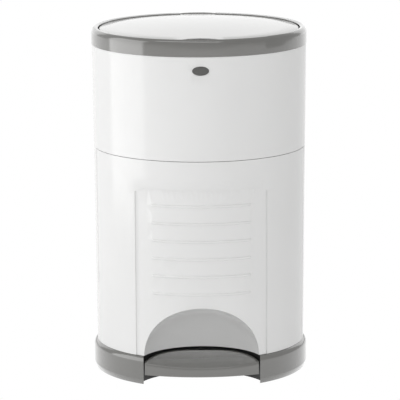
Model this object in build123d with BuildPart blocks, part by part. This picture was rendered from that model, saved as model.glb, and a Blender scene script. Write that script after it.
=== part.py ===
"""Pedal nappy bin. Origin on the floor at the bin's axis, +Z up, front towards -Y, millimetres."""

import os
from math import cos, radians, sin, sqrt

from build123d import *

os.makedirs("parts", exist_ok=True)

# Driving sizes
RING_R = 180.0  # outer radius of the base ring and the collar ring
BASE_TOP = 48.0  # top of the base ring, where the white body starts
SEAM_Z = 379.4  # seam between the lower and the upper body
COLLAR_Z = 551.4  # seam between the upper body and the collar ring
WALL = 3.0  # moulded wall of the body
DOOR_WALL = 3.5
SEAM_GAP = 0.4  # open line at the waist
PART_GAP = 0.5  # gap between the door or collar and what it closes against

# Body taper: radius of the outer skin at the foot and the head of each half
LOWER_R = (174.6, 177.2)
UPPER_R = (177.4, 179.2)

# Base ring
RING_FOOT_Z = 1.0
RING_FOOT_R = 176.5
RING_BEVEL_Z = 10.0
RING_SHOULDER_Z = 39.0
FLANGE_R = 166.0  # inner edge of the flange that the body stands on
FLANGE_T = 3.0

# Pedal bay
BAY_Y = -183.0  # the bay and the scoop are round about an upright line here
BAY_HALF = 96.5
BAY_R = 109.0
SCOOP_R = 102.5
SCOOP_H = 87.0

# Pedal and its lever
PEDAL_HALF = 94.3
PEDAL_REAR_R = 100.3
PEDAL_FRONT_Y = -172.0
PEDAL_END_Y = -153.5
PEDAL_BOTTOM = 18.0
PEDAL_WALL = 3.0
PIVOT_Y = 20.0
PIVOT_Z = 20.0
ARM_X = 40.0
ARM_W = 8.0
ARM_BOTTOM = 14.0
ARM_TOP = 26.0
AXLE_R = 3.0
AXLE_HALF = 70.0
FIT = 0.05  # radial clearance of a shaft that turns or slides in its hole
PRESS = 0.02  # radial clearance of a pin or screw that stays put
CLEAR = 0.5  # room round a moving piece
REACH = 400.0  # longer than any piece, for cuts that run right through

# Push rod
ROD_Y = 163.0
ROD_R = 2.5
ROD_TOP_Z = 565.6
ROD_SLOT = 14.0  # width of the openings that the rod passes through

# Floor moulding
FLOOR_TOP = BASE_TOP - FLANGE_T
FLOOR_T = 3.0
FLOOR_R = 171.0
FOOT_R = 9.0
FOOT_T = 2.5
FOOT_PITCH_R = 150.0

# Door
DOOR_HALF_ANGLE = 77.6
DOOR_PIVOT_ANGLE = 75.5
DOOR_PIVOT_R = 171.5
STILE_R = 8.0
BARREL_R = 4.2
DOOR_PIN_R = 1.75
DOOR_PIN_L = 24.0
DOOR_FOOT = BASE_TOP + PART_GAP
DOOR_HEAD = SEAM_Z - PART_GAP

# Front panel and ribs
PANEL_HALF = 108.5
PANEL_TOP = 332.0
PANEL_CORNER = (93.0, 325.0)
PANEL_DEPTH = 1.3
RIB_COUNT = 6
RIB_TOP_Z = 304.8
RIB_PITCH = 29.45
RIB_R = 2.3
RIB_HALF_ANGLE = 27.0

# Collar, lid and deck
LAND_Z = 579.5
LAND_R = 174.0
LIP_R = 168.6
LIP_Z = 578.1
COLLAR_WALL = 3.2
COLLAR_SHOULDER_Z = 571.0
LID_R = 166.5
LID_EDGE_Z = 577.0
LID_RISE = 9.0
LID_T = 2.6
DECK_Z = 549.5
DECK_T = 3.0
DECK_R = 175.2
DROP_X = 85.0
DROP_Y = 100.0
DROP_CORNER = 2.0
LID_PIN_Y = 170.5
LID_PIN_Z = 574.5
LID_PIN_R = 1.5
LID_ARM_HALF = 23.4  # the lid's arm to its pin, between the deck's two lugs
LID_LUG_X = 27.0
LID_LUG_W = 6.0
LID_LUG_R = 2.8
COLLAR_PIN_Y = 173.5
COLLAR_PIN_Z = 558.0
COLLAR_PIN_R = 1.75
KNUCKLE_R = 3.9

# Button
BUTTON_Z = 528.7
BUTTON_HALF_W = 13.4
BUTTON_HALF_H = 7.2
BUTTON_GAP = 0.4


def lower_r(z):
    """Radius of the lower body's outer skin at height z."""
    return LOWER_R[0] + (LOWER_R[1] - LOWER_R[0]) * (z - BASE_TOP) / (SEAM_Z - BASE_TOP)


def upper_r(z):
    """Radius of the upper body's outer skin at height z."""
    return UPPER_R[0] + (UPPER_R[1] - UPPER_R[0]) * (z - SEAM_Z) / (COLLAR_Z - SEAM_Z)


def round_about(angle, radius):
    """Plan point at an angle from the front, positive towards +X."""
    return (radius * sin(radians(angle)), -radius * cos(radians(angle)))


def wedge(start, end, reach=260.0):
    """Plan outline of the slice of the bin between two angles from the front."""
    steps = 4
    turn = (end - start) / steps
    return [(0, 0)] + [round_about(start + i * turn, reach) for i in range(steps + 1)]


DOOR_PIVOT = round_about(-DOOR_PIVOT_ANGLE, DOOR_PIVOT_R)
BODY_SCREW_R = 1.4
BODY_HEAD_R = 2.8
BODY_HEAD_T = 1.6
HEAD_ROOM_R = 3.4
RIM_INNER_R = 165.0  # inner edge of the two flat rims where the shells meet
BODY_SCREW_PITCH_R = 168.6
BASE_SCREWS = [round_about(a, BODY_SCREW_PITCH_R) for a in (55, 95, 145, 215, 258, 305)]
SHELL_SCREWS = [round_about(a, BODY_SCREW_PITCH_R) for a in (105, 150, 210, 255)]


def skin(foot, head, radius, thickness):
    """Section of a tapered wall between two heights, thickness inwards."""
    return [
        (radius(foot) - thickness, foot),
        (radius(foot), foot),
        (radius(head), head),
        (radius(head) - thickness, head),
    ]


# Base ring: outer skin with a bevelled foot, a round shoulder and the inner flange
with BuildPart() as base_ring:
    with BuildSketch(Plane.XZ):
        with BuildLine():
            Polyline(
                (RING_FOOT_R - WALL, RING_FOOT_Z),
                (RING_FOOT_R, RING_FOOT_Z),
                (RING_R, RING_BEVEL_Z),
                (RING_R, RING_SHOULDER_Z),
            )
            RadiusArc((RING_R, RING_SHOULDER_Z), (LOWER_R[0], BASE_TOP), -9.5)
            Polyline(
                (LOWER_R[0], BASE_TOP),
                (FLANGE_R, BASE_TOP),
                (FLANGE_R, FLOOR_TOP),
                (RING_R - WALL - 3.0, FLOOR_TOP),
                (RING_R - WALL, RING_SHOULDER_Z),
                (RING_R - WALL, RING_BEVEL_Z + 1.0),
                (RING_FOOT_R - WALL, RING_FOOT_Z),
            )
        make_face()
    revolve(axis=Axis.Z)
    with BuildSketch(Plane.XY):
        with Locations((0, BAY_Y)):
            Rectangle(2 * BAY_HALF, 2 * BAY_R)
    extrude(amount=BASE_TOP + 1, mode=Mode.SUBTRACT)
    # hole for the lower door pin
    with BuildSketch(Plane.XY.offset(FLOOR_TOP - 1)):
        with Locations(DOOR_PIVOT):
            Circle(DOOR_PIN_R + PRESS)
    extrude(amount=FLANGE_T + 2, mode=Mode.SUBTRACT)
    with BuildSketch(Plane.XY.offset(FLOOR_TOP - 1)):
        with Locations(*BASE_SCREWS):
            Circle(BODY_SCREW_R + PRESS)
    extrude(amount=3.6, mode=Mode.SUBTRACT)
base_ring.part.label = "base_ring"
export_step(base_ring.part, "parts/base_ring.step")

# Floor moulding: disc under the flange, bay wall, axle bearings, foot pillars and a guide for the rod
BAY_FLOOR_Z = 2.0
BEARING_X = 60.0
BEARING_W = 6.0
SLOT_W = ARM_W + 5.0
with BuildPart() as base_plate:
    with BuildSketch(Plane.XY.offset(FLOOR_TOP - FLOOR_T)):
        Circle(FLOOR_R)
        with Locations((0, BAY_Y)):
            Circle(BAY_R, mode=Mode.SUBTRACT)
    extrude(amount=FLOOR_T)
    # curved wall round the bay
    with BuildSketch(Plane.XY.offset(BAY_FLOOR_Z)):
        with Locations((0, BAY_Y)):
            Circle(BAY_R + WALL)
            Circle(BAY_R, mode=Mode.SUBTRACT)
        Circle(FLOOR_R - 1.0, mode=Mode.INTERSECT)
    extrude(amount=FLOOR_TOP - BAY_FLOOR_Z)
    # outer skirt inside the ring, left off in front of the bay
    with BuildSketch(Plane.XY.offset(FLOOR_TOP - 14)):
        Circle(FLOOR_R)
        Circle(FLOOR_R - 2.5, mode=Mode.SUBTRACT)
        with Locations((0, BAY_Y)):
            Circle(BAY_R, mode=Mode.SUBTRACT)
    extrude(amount=14)
    # pillars over the feet
    with BuildSketch(Plane.XY.offset(FOOT_T)):
        with PolarLocations(FOOT_PITCH_R, 4, 45):
            Circle(FOOT_R + 3)
    extrude(until=Until.NEXT)
    # bearings for the pedal axle
    with BuildSketch(Plane.XY.offset(PIVOT_Z)):
        with Locations((BEARING_X, PIVOT_Y), (-BEARING_X, PIVOT_Y)):
            Rectangle(BEARING_W, 20)
    extrude(until=Until.NEXT)
    with BuildSketch(Plane.YZ):
        with Locations((PIVOT_Y, PIVOT_Z)):
            Circle(10)
    extrude(amount=BEARING_X + BEARING_W / 2, both=True)
    with BuildSketch(Plane.YZ):
        with Locations((PIVOT_Y, PIVOT_Z)):
            Circle(10.5)
    extrude(amount=BEARING_X - BEARING_W / 2, both=True, mode=Mode.SUBTRACT)
    with BuildSketch(Plane.YZ):
        with Locations((PIVOT_Y, PIVOT_Z)):
            Circle(AXLE_R + PRESS)
    extrude(amount=AXLE_HALF + 5, both=True, mode=Mode.SUBTRACT)
    # slots in the bay wall for the pedal arms
    with BuildSketch(Plane.XZ):
        with Locations((ARM_X, ARM_TOP - 12), (-ARM_X, ARM_TOP - 12)):
            Rectangle(SLOT_W, 34)
    extrude(amount=130, mode=Mode.SUBTRACT)
    # hole for the push rod
    with BuildSketch(Plane.XY.offset(FLOOR_TOP - FLOOR_T)):
        with Locations((0, ROD_Y)):
            Circle(ROD_R + 1.0)
    extrude(amount=FLOOR_T, mode=Mode.SUBTRACT)
    with BuildSketch(Plane.XY.offset(FLOOR_TOP - 14)):
        with Locations(*BASE_SCREWS):
            Circle(HEAD_ROOM_R)
    extrude(amount=14 - FLOOR_T, mode=Mode.SUBTRACT)
    with BuildSketch(Plane.XY.offset(FLOOR_TOP - 4)):
        with Locations(*BASE_SCREWS):
            Circle(BODY_SCREW_R + PRESS)
    extrude(amount=6, mode=Mode.SUBTRACT)
base_plate.part.label = "base_plate"
export_step(base_plate.part, "parts/base_plate.step")

# Four rubber feet under the pillars
with BuildPart() as rubber_feet:
    with BuildSketch(Plane.XY):
        with PolarLocations(FOOT_PITCH_R, 4, 45):
            Circle(FOOT_R)
    extrude(amount=FOOT_T, taper=8)
rubber_feet.part.label = "rubber_feet"
export_step(rubber_feet.part, "parts/rubber_feet.step")

# Pedal: lens-shaped plate with a rounded front edge, hollow below, on two lever arms joined at the back
PEDAL_TOP_REAR = 45.0
PEDAL_TOP_MID = 41.8
PEDAL_TOP_FRONT = 31.5
LEVER_END_Y = ROD_Y + 5.0
LEVER_BAR = 11.0
LEVER_ROUND_R = 167.0  # the rear bar's ends are rounded off inside the floor's skirt


def pedal_outline(inset):
    """Plan outline of the pedal plate, drawn in by inset."""
    half = PEDAL_HALF - inset
    rear_r = PEDAL_REAR_R - inset
    rear_end = BAY_Y + sqrt(rear_r**2 - half**2)
    with BuildLine() as outline:
        ThreePointArc((-half, rear_end), (0, BAY_Y + rear_r), (half, rear_end))
        Line((half, rear_end), (half, PEDAL_END_Y + inset * 0.4))
        ThreePointArc(
            (half, PEDAL_END_Y + inset * 0.4),
            (0, PEDAL_FRONT_Y + inset),
            (-half, PEDAL_END_Y + inset * 0.4),
        )
        Line((-half, PEDAL_END_Y + inset * 0.4), (-half, rear_end))
    return outline.line


def pedal_section(drop):
    """Side section of the space under the pedal's crowned top, lowered by drop."""
    back = BAY_Y + PEDAL_REAR_R + 5
    front = PEDAL_FRONT_Y - 5
    with BuildLine() as section:
        ThreePointArc(
            (back, PEDAL_TOP_REAR - drop), (-132, PEDAL_TOP_MID - drop), (front, PEDAL_TOP_FRONT - drop)
        )
        Polyline(
            (front, PEDAL_TOP_FRONT - drop),
            (front, PEDAL_BOTTOM - 10),
            (back, PEDAL_BOTTOM - 10),
            (back, PEDAL_TOP_REAR - drop),
        )
    return section.line


with BuildPart() as foot_pedal:
    with BuildSketch(Plane.XY.offset(PEDAL_BOTTOM)):
        add(pedal_outline(0))
        make_face()
    extrude(amount=40)
    with BuildSketch(Plane.YZ):
        add(pedal_section(0))
        make_face()
    extrude(amount=PEDAL_HALF + 5, both=True, mode=Mode.INTERSECT)
    top_front = foot_pedal.edges().filter_by(lambda e: e.center().Z > 30).sort_by(Axis.Y)[0]
    fillet(top_front, 4.5)
    with BuildPart(mode=Mode.PRIVATE) as pedal_hollow:
        with BuildSketch(Plane.XY.offset(PEDAL_BOTTOM - 1)):
            add(pedal_outline(PEDAL_WALL))
            make_face()
        extrude(amount=40)
        with BuildSketch(Plane.YZ):
            add(pedal_section(PEDAL_WALL + 2.5))
            make_face()
        extrude(amount=PEDAL_HALF + 5, both=True, mode=Mode.INTERSECT)
    add(pedal_hollow.part, mode=Mode.SUBTRACT)
    # two arms under the floor and the bar that lifts the rod
    with BuildSketch(Plane.XY.offset(ARM_BOTTOM)):
        arm_front = BAY_Y + PEDAL_REAR_R - 12
        arm_length = LEVER_END_Y - arm_front
        with Locations((ARM_X, arm_front), (-ARM_X, arm_front)):
            Rectangle(ARM_W, arm_length, align=(Align.CENTER, Align.MIN))
        with Locations((0, LEVER_END_Y)):
            Rectangle(2 * ARM_X + ARM_W, LEVER_BAR, align=(Align.CENTER, Align.MAX))
        Circle(LEVER_ROUND_R, mode=Mode.INTERSECT)
    extrude(amount=ARM_TOP - ARM_BOTTOM)
    with BuildSketch(Plane.XY.offset(PEDAL_BOTTOM)):
        with Locations((ARM_X, arm_front), (-ARM_X, arm_front)):
            Rectangle(ARM_W, 9.0, align=(Align.CENTER, Align.MIN))
    extrude(amount=20)
    # hubs on the axle
    with BuildSketch(Plane.YZ):
        with Locations((PIVOT_Y, PIVOT_Z)):
            Circle(9)
    extrude(amount=ARM_X + ARM_W / 2 + 2, both=True)
    with BuildSketch(Plane.YZ):
        with Locations((PIVOT_Y, PIVOT_Z)):
            Rectangle(24, 24)
    extrude(amount=ARM_X - ARM_W / 2 - 2, both=True, mode=Mode.SUBTRACT)
    with BuildSketch(Plane.YZ):
        with Locations((PIVOT_Y, PIVOT_Z)):
            Circle(AXLE_R + FIT)
    extrude(amount=AXLE_HALF, both=True, mode=Mode.SUBTRACT)
foot_pedal.part.label = "foot_pedal"
export_step(foot_pedal.part, "parts/foot_pedal.step")

# Steel axle of the pedal
with BuildPart() as pedal_axle:
    with BuildSketch(Plane.YZ):
        with Locations((PIVOT_Y, PIVOT_Z)):
            Circle(AXLE_R)
    extrude(amount=AXLE_HALF, both=True)
    chamfer(pedal_axle.edges(), 0.6)
pedal_axle.part.label = "pedal_axle"
export_step(pedal_axle.part, "parts/pedal_axle.step")


CURL_SPOTS = 24


def coil(radius, wire, pitch, turns, place):
    """Coil spring of round wire whose axis is the Z of the plane it is placed on."""
    path = Helix(pitch=pitch, height=pitch * turns, radius=radius)
    section = Plane(origin=path @ 0, z_dir=path % 0) * Circle(wire / 2)
    spots = [path @ (i / (CURL_SPOTS * turns)) for i in range(CURL_SPOTS * turns + 1)]
    half_turn = CURL_SPOTS // 2
    apart = [(b - a).length for i, a in enumerate(spots) for b in spots[i + half_turn :]]
    print("coil of", turns, "turns: least gap between curls", round(min(apart) - wire, 2), "mm")
    return place.location * sweep(section, path=path, is_frenet=True)


# Return springs round the axle, one beside each arm
SPRING_WIRE = 1.4
SPRING_PITCH = 2.0
SPRING_TURNS = 3
SPRING_COIL_R = AXLE_R + 2.2
SPRING_STARTS = [Plane((x, PIVOT_Y, PIVOT_Z), z_dir=(1, 0, 0)) for x in (48.2, -54.4)]
pedal_coils = [coil(SPRING_COIL_R, SPRING_WIRE, SPRING_PITCH, SPRING_TURNS, start) for start in SPRING_STARTS]
with BuildPart() as pedal_springs:
    add(pedal_coils)
pedal_springs.part.label = "pedal_springs"
export_step(pedal_springs.part, "parts/pedal_springs.step")

# Lower rear shell: tapered wall behind the door, with a flange under the seam
with BuildPart() as lower_shell:
    with BuildSketch(Plane.XZ):
        Polygon(*skin(BASE_TOP, SEAM_Z, lower_r, WALL), align=None)
    revolve(axis=Axis.Z)
    with BuildSketch(Plane.XY.offset(SEAM_Z - 3.0)):
        Circle(lower_r(SEAM_Z) - 1.0)
        Circle(RIM_INNER_R, mode=Mode.SUBTRACT)
    extrude(amount=3.0 + SEAM_GAP)
    with BuildSketch(Plane.XY):
        Polygon(*wedge(78.2, 360 - 76.0), align=None)
    extrude(amount=REACH, mode=Mode.INTERSECT)
    with BuildSketch(Plane.XY):
        with Locations(DOOR_PIVOT):
            Circle(STILE_R + CLEAR)
    extrude(amount=REACH, mode=Mode.SUBTRACT)
    # clearance for the rod through the flange
    with BuildSketch(Plane.XY.offset(SEAM_Z - 5)):
        with Locations((0, ROD_Y)):
            Rectangle(ROD_SLOT, ROD_SLOT)
    extrude(amount=10, mode=Mode.SUBTRACT)
    with BuildSketch(Plane.XY.offset(SEAM_Z - 4)):
        with Locations(*SHELL_SCREWS):
            Circle(BODY_SCREW_R + PRESS)
    extrude(amount=6, mode=Mode.SUBTRACT)
lower_shell.part.label = "lower_shell"
export_step(lower_shell.part, "parts/lower_shell.step")


def dome(radius, height):
    """Half-section of the scoop's dome, to be turned about the bay's upright line."""
    with BuildLine() as half:
        EllipticalCenterArc((0, 0), radius, height, start_angle=0, arc_size=90)
        Polyline((0, height), (0, 0), (radius, 0))
    return half.line


# Door: front of the lower body with the panel, ribs and scoop, and the stile it turns on
with BuildPart() as front_door:
    with BuildSketch(Plane((0, BAY_Y, DOOR_FOOT), x_dir=(1, 0, 0), z_dir=(0, -1, 0))):
        add(dome(SCOOP_R + WALL, SCOOP_H + WALL - PART_GAP))
        make_face()
    revolve(axis=Axis((0, BAY_Y, 0), (0, 0, 1)))
    with BuildSketch(Plane.XY.offset(DOOR_FOOT)):
        with Locations(DOOR_PIVOT):
            Circle(BARREL_R)
    extrude(amount=DOOR_HEAD - DOOR_FOOT)
    with BuildSketch(Plane.XZ):
        Polygon(
            (0, DOOR_FOOT),
            (lower_r(DOOR_FOOT), DOOR_FOOT),
            (lower_r(DOOR_HEAD), DOOR_HEAD),
            (0, DOOR_HEAD),
            align=None,
        )
    revolve(axis=Axis.Z, mode=Mode.INTERSECT)
    with BuildPart(mode=Mode.PRIVATE) as door_wall:
        with BuildSketch(Plane.XZ):
            Polygon(*skin(DOOR_FOOT, DOOR_HEAD, lower_r, DOOR_WALL), align=None)
        revolve(axis=Axis.Z)
        with BuildSketch(Plane.XY):
            Polygon(*wedge(-DOOR_PIVOT_ANGLE, DOOR_HALF_ANGLE), align=None)
            with Locations(DOOR_PIVOT):
                Circle(STILE_R)
        extrude(amount=REACH, mode=Mode.INTERSECT)
    add(door_wall.part)
    # shallow recess of the front panel
    with BuildPart(mode=Mode.PRIVATE) as panel_recess:
        with BuildSketch(Plane.XZ):
            outside = 8.0
            band = skin(DOOR_FOOT - 1, PANEL_TOP + 5, lambda z: lower_r(z) + outside, outside + PANEL_DEPTH)
            Polygon(*band, align=None)
        revolve(axis=Axis.Z)
        with BuildSketch(Plane.XZ):
            Polygon(
                (-PANEL_HALF, 0),
                (PANEL_HALF, 0),
                (PANEL_HALF, PANEL_CORNER[1]),
                (PANEL_CORNER[0], PANEL_TOP),
                (-PANEL_CORNER[0], PANEL_TOP),
                (-PANEL_HALF, PANEL_CORNER[1]),
                align=None,
            )
        extrude(amount=260, mode=Mode.INTERSECT)
    add(panel_recess.part, mode=Mode.SUBTRACT)
    # ribs across the panel
    for i in range(RIB_COUNT):
        rib_z = RIB_TOP_Z - i * RIB_PITCH
        rib_turn_r = lower_r(rib_z) - PANEL_DEPTH - 0.6
        ends = [round_about(a, rib_turn_r) for a in (-RIB_HALF_ANGLE, 0, RIB_HALF_ANGLE)]
        with BuildLine(Plane.XY.offset(rib_z)):
            rib_path = ThreePointArc(*ends)
        with BuildSketch(Plane(origin=rib_path @ 0, z_dir=rib_path % 0)):
            Circle(RIB_R)
        sweep(path=rib_path)
        with Locations(*[(x, y, rib_z) for x, y in (ends[0], ends[2])]):
            Sphere(RIB_R)
    with BuildSketch(Plane((0, BAY_Y, BASE_TOP - 1), x_dir=(1, 0, 0), z_dir=(0, -1, 0))):
        add(dome(SCOOP_R, SCOOP_H + 1))
        make_face()
    revolve(axis=Axis((0, BAY_Y, 0), (0, 0, 1)), mode=Mode.SUBTRACT)
    # holes for the two pins
    with BuildSketch(Plane.XY.offset(DOOR_FOOT - 1)):
        with Locations(DOOR_PIVOT):
            Circle(DOOR_PIN_R + FIT)
    extrude(amount=REACH, mode=Mode.SUBTRACT)
front_door.part.label = "front_door"
export_step(front_door.part, "parts/front_door.step")

# Two pins that the door turns on, one in the ring's flange and one in the upper shell
DOOR_PIN_REACH = 14.0
with BuildPart() as door_hinge_pins:
    for foot in (FLOOR_TOP, DOOR_HEAD - DOOR_PIN_REACH):
        with BuildSketch(Plane.XY.offset(foot)):
            with Locations(DOOR_PIVOT):
                Circle(DOOR_PIN_R)
        extrude(amount=DOOR_PIN_L)
door_hinge_pins.part.label = "door_hinge_pins"
export_step(door_hinge_pins.part, "parts/door_hinge_pins.step")

# Upper shell: one tapered wall all round, with the oval hole and guide of the button
SHELL_FOOT = SEAM_Z + SEAM_GAP
SHELL_HEAD = COLLAR_Z - 0.2
GUIDE_BACK_Y = -160.0
NECK_HALF = 14.0
NECK_T = 6.2
NECK_DROP = 20.0
RELIEF_HALF = 46.0
RELIEF_DEPTH = 3.6
with BuildPart() as upper_shell:
    with BuildSketch(Plane.XZ):
        Polygon(*skin(SHELL_FOOT, SHELL_HEAD, upper_r, WALL), align=None)
    revolve(axis=Axis.Z)
    with BuildSketch(Plane.XY.offset(SHELL_FOOT)):
        Circle(UPPER_R[0] - 1.0)
        Circle(RIM_INNER_R, mode=Mode.SUBTRACT)
        with Locations((0, ROD_Y)):
            Rectangle(ROD_SLOT, ROD_SLOT, mode=Mode.SUBTRACT)
    extrude(amount=3.0)
    # lug over the door's upper pin
    with BuildSketch(Plane.XY.offset(SHELL_FOOT)):
        with Locations(DOOR_PIVOT):
            Circle(BARREL_R)
    extrude(amount=12)
    with BuildSketch(Plane.XY.offset(SHELL_FOOT - 1)):
        with Locations(DOOR_PIVOT):
            Circle(DOOR_PIN_R + PRESS)
    extrude(amount=10.4, mode=Mode.SUBTRACT)
    # sleeve behind the button, closed at the back for its spring
    with BuildSketch(Plane.XZ.offset(-GUIDE_BACK_Y - 3)):
        with Locations((0, BUTTON_Z)):
            Ellipse(BUTTON_HALF_W + BUTTON_GAP + 2.2, BUTTON_HALF_H + BUTTON_GAP + 2.2)
    extrude(amount=19.5)
    with BuildSketch(Plane.XZ.offset(-GUIDE_BACK_Y)):
        with Locations((0, BUTTON_Z)):
            Ellipse(BUTTON_HALF_W + BUTTON_GAP, BUTTON_HALF_H + BUTTON_GAP)
    extrude(amount=30, mode=Mode.SUBTRACT)
    # ledge that the collar's hook catches under
    with BuildSketch(Plane.XY.offset(546)):
        with Locations((0, -175.0)):
            Rectangle(20, 4)
    extrude(amount=2.5)
    # relief at the back for the collar's hinge, and the neck that carries its pin
    with BuildSketch(Plane.XY.offset(COLLAR_Z - RELIEF_DEPTH)):
        with Locations((0, UPPER_R[1])):
            Rectangle(2 * RELIEF_HALF, 24)
    extrude(amount=2 * RELIEF_DEPTH, mode=Mode.SUBTRACT)
    with BuildSketch(Plane.YZ):
        with Locations((COLLAR_PIN_Y, COLLAR_PIN_Z)):
            Circle(KNUCKLE_R)
        with Locations((UPPER_R[1], COLLAR_PIN_Z)):
            Rectangle(NECK_T, NECK_DROP, align=(Align.MAX, Align.MAX))
        with Locations((COLLAR_PIN_Y, COLLAR_PIN_Z)):
            Circle(COLLAR_PIN_R + PRESS, mode=Mode.SUBTRACT)
    extrude(amount=NECK_HALF, both=True)
    with BuildSketch(Plane.XY.offset(SHELL_FOOT - 1)):
        with Locations(*SHELL_SCREWS):
            Circle(BODY_SCREW_R + PRESS)
    extrude(amount=6, mode=Mode.SUBTRACT)
upper_shell.part.label = "upper_shell"
export_step(upper_shell.part, "parts/upper_shell.step")

# Upright channel inside the back wall, with three eyes for the rod
GUIDE_FOOT = BASE_TOP + 8.0
GUIDE_HEAD = 360.0
GUIDE_SIDE_X = 7.5
GUIDE_SIDE_Y = 165.0
GUIDE_SIDE_T = 2.5
GUIDE_SIDE_W = 12.0
GUIDE_WEB_Y = 170.4
GUIDE_WEB_T = 2.0
EYE_T = 6.0
with BuildPart() as rod_guide:
    with BuildSketch(Plane.XY.offset(GUIDE_FOOT)):
        with Locations((-GUIDE_SIDE_X, GUIDE_SIDE_Y), (GUIDE_SIDE_X, GUIDE_SIDE_Y)):
            Rectangle(GUIDE_SIDE_T, GUIDE_SIDE_W)
        with Locations((0, GUIDE_WEB_Y)):
            Rectangle(2 * GUIDE_SIDE_X + GUIDE_SIDE_T, GUIDE_WEB_T)
    extrude(amount=GUIDE_HEAD - GUIDE_FOOT)
    for eye_z in (GUIDE_FOOT + 4, (GUIDE_FOOT + GUIDE_HEAD) / 2, GUIDE_HEAD - 10):
        with BuildSketch(Plane.XY.offset(eye_z)):
            with Locations((0, ROD_Y + 1.8)):
                Rectangle(2 * GUIDE_SIDE_X, GUIDE_SIDE_W)
            with Locations((0, ROD_Y)):
                Circle(ROD_R + FIT, mode=Mode.SUBTRACT)
        extrude(amount=EYE_T)
rod_guide.part.label = "rod_guide"
export_step(rod_guide.part, "parts/rod_guide.step")

# Straight steel rod from the pedal's rear bar up to the lid's crank
ROD_FOOT_Z = ARM_TOP + CLEAR
with BuildPart() as push_rod:
    with BuildSketch(Plane.XY.offset(ROD_FOOT_Z)):
        with Locations((0, ROD_Y)):
            Circle(ROD_R)
    extrude(amount=ROD_TOP_Z - ROD_FOOT_Z)
    fillet(push_rod.edges().filter_by(GeomType.CIRCLE), ROD_R - 0.8)
push_rod.part.label = "push_rod"
export_step(push_rod.part, "parts/push_rod.step")

# Tray for the refill: annular floor, outer rim, and the neck that the film runs over
NECK_R = 120.0
TRAY_Z = SHELL_FOOT + 3.0
TRAY_HOLDER_R = 172.5
TRAY_NECK_TOP = 438.0
TRAY_WALL = 2.5
TRAY_RIM_H = 12.0
NECK_INNER_R = NECK_R - TRAY_WALL
NECK_ROUND_Z = TRAY_NECK_TOP - 3.0
with BuildPart() as liner_holder:
    with BuildSketch(Plane.XZ):
        with BuildLine():
            Polyline(
                (NECK_INNER_R, TRAY_Z),
                (TRAY_HOLDER_R, TRAY_Z),
                (TRAY_HOLDER_R, TRAY_Z + TRAY_RIM_H),
                (TRAY_HOLDER_R - TRAY_WALL, TRAY_Z + TRAY_RIM_H),
                (TRAY_HOLDER_R - TRAY_WALL, TRAY_Z + TRAY_WALL),
                (NECK_R, TRAY_Z + TRAY_WALL),
                (NECK_R, NECK_ROUND_Z),
            )
            ThreePointArc(
                (NECK_R, NECK_ROUND_Z),
                (NECK_R - TRAY_WALL / 2, TRAY_NECK_TOP),
                (NECK_INNER_R, NECK_ROUND_Z),
            )
            Line((NECK_INNER_R, NECK_ROUND_Z), (NECK_INNER_R, TRAY_Z))
        make_face()
    revolve(axis=Axis.Z)
    # room for the rod at the back and for the door's pin lug
    with BuildSketch(Plane.XY.offset(TRAY_Z - 1)):
        with Locations((0, ROD_Y + 3)):
            Rectangle(ROD_SLOT, 20)
        with Locations(DOOR_PIVOT):
            Circle(8)
        with Locations(*SHELL_SCREWS):
            Circle(HEAD_ROOM_R)
    extrude(amount=20, mode=Mode.SUBTRACT)
liner_holder.part.label = "liner_holder"
export_step(liner_holder.part, "parts/liner_holder.step")

# Cutter on the inside of the door: slotted body, and the blade set across its slot
CUTTER_Z = 345.0
CUTTER_BACK_Y = -166.0
CUTTER_W = 60.0
CUTTER_H = 26.0
WINDOW_X = -10.0  # the blade's window, to one side of the slot's middle
WINDOW_W = 9.0
WINDOW_H = 16.0
with BuildPart() as cutter_body:
    with BuildSketch(Plane.XZ.offset(-CUTTER_BACK_Y - 6)):
        with Locations((0, CUTTER_Z)):
            RectangleRounded(CUTTER_W, CUTTER_H, 5)
    extrude(amount=13.0)
    with BuildSketch(Plane.XY.offset(CUTTER_Z - 20)):
        Circle(lower_r(CUTTER_Z - 20) - DOOR_WALL - 0.05)
    extrude(amount=40, mode=Mode.INTERSECT)
    with BuildSketch(Plane.XZ.offset(-CUTTER_BACK_Y - 7)):
        with Locations((8, CUTTER_Z)):
            SlotOverall(50, 5)
    extrude(amount=8, mode=Mode.SUBTRACT)
    with BuildSketch(Plane.XZ.offset(-CUTTER_BACK_Y - 4)):
        with Locations((WINDOW_X, CUTTER_Z)):
            Rectangle(WINDOW_W, WINDOW_H)
    extrude(amount=1, mode=Mode.SUBTRACT)
cutter_body.part.label = "cutter_body"
export_step(cutter_body.part, "parts/cutter_body.step")

BLADE_T = 0.6
BLADE_PLAY = 0.2
with BuildPart() as cutter_blade:
    with BuildSketch(Plane.XZ.offset(-CUTTER_BACK_Y - 4 + BLADE_PLAY)):
        with Locations((WINDOW_X, CUTTER_Z)):
            Rectangle(WINDOW_W - BLADE_PLAY, WINDOW_H - BLADE_PLAY)
            Circle(1.2, mode=Mode.SUBTRACT)
    extrude(amount=BLADE_T)
cutter_blade.part.label = "cutter_blade"
export_step(cutter_blade.part, "parts/cutter_blade.step")

# Snap catch on the free edge of the door: its finger reaches behind the rear shell
CATCH_Z = 215.0
CATCH_H = 36.0
CATCH_FOOT = CATCH_Z - CATCH_H / 2
CATCH_REACH_R = lower_r(CATCH_FOOT) - DOOR_WALL - FIT
with BuildPart() as door_latch:
    with BuildSketch(Plane.XY.offset(CATCH_FOOT)):
        with Locations((165.6, -24.0)):
            Rectangle(5.2, 34, align=(Align.CENTER, Align.MAX))
        Circle(CATCH_REACH_R, mode=Mode.INTERSECT)
    extrude(amount=CATCH_H)
    with BuildSketch(Plane.XY.offset(CATCH_FOOT)):
        with Locations((160.0, -50.0)):
            Rectangle(16, 8)
        Circle(CATCH_REACH_R, mode=Mode.INTERSECT)
    extrude(amount=CATCH_H)
door_latch.part.label = "door_latch"
export_step(door_latch.part, "parts/door_latch.step")

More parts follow.
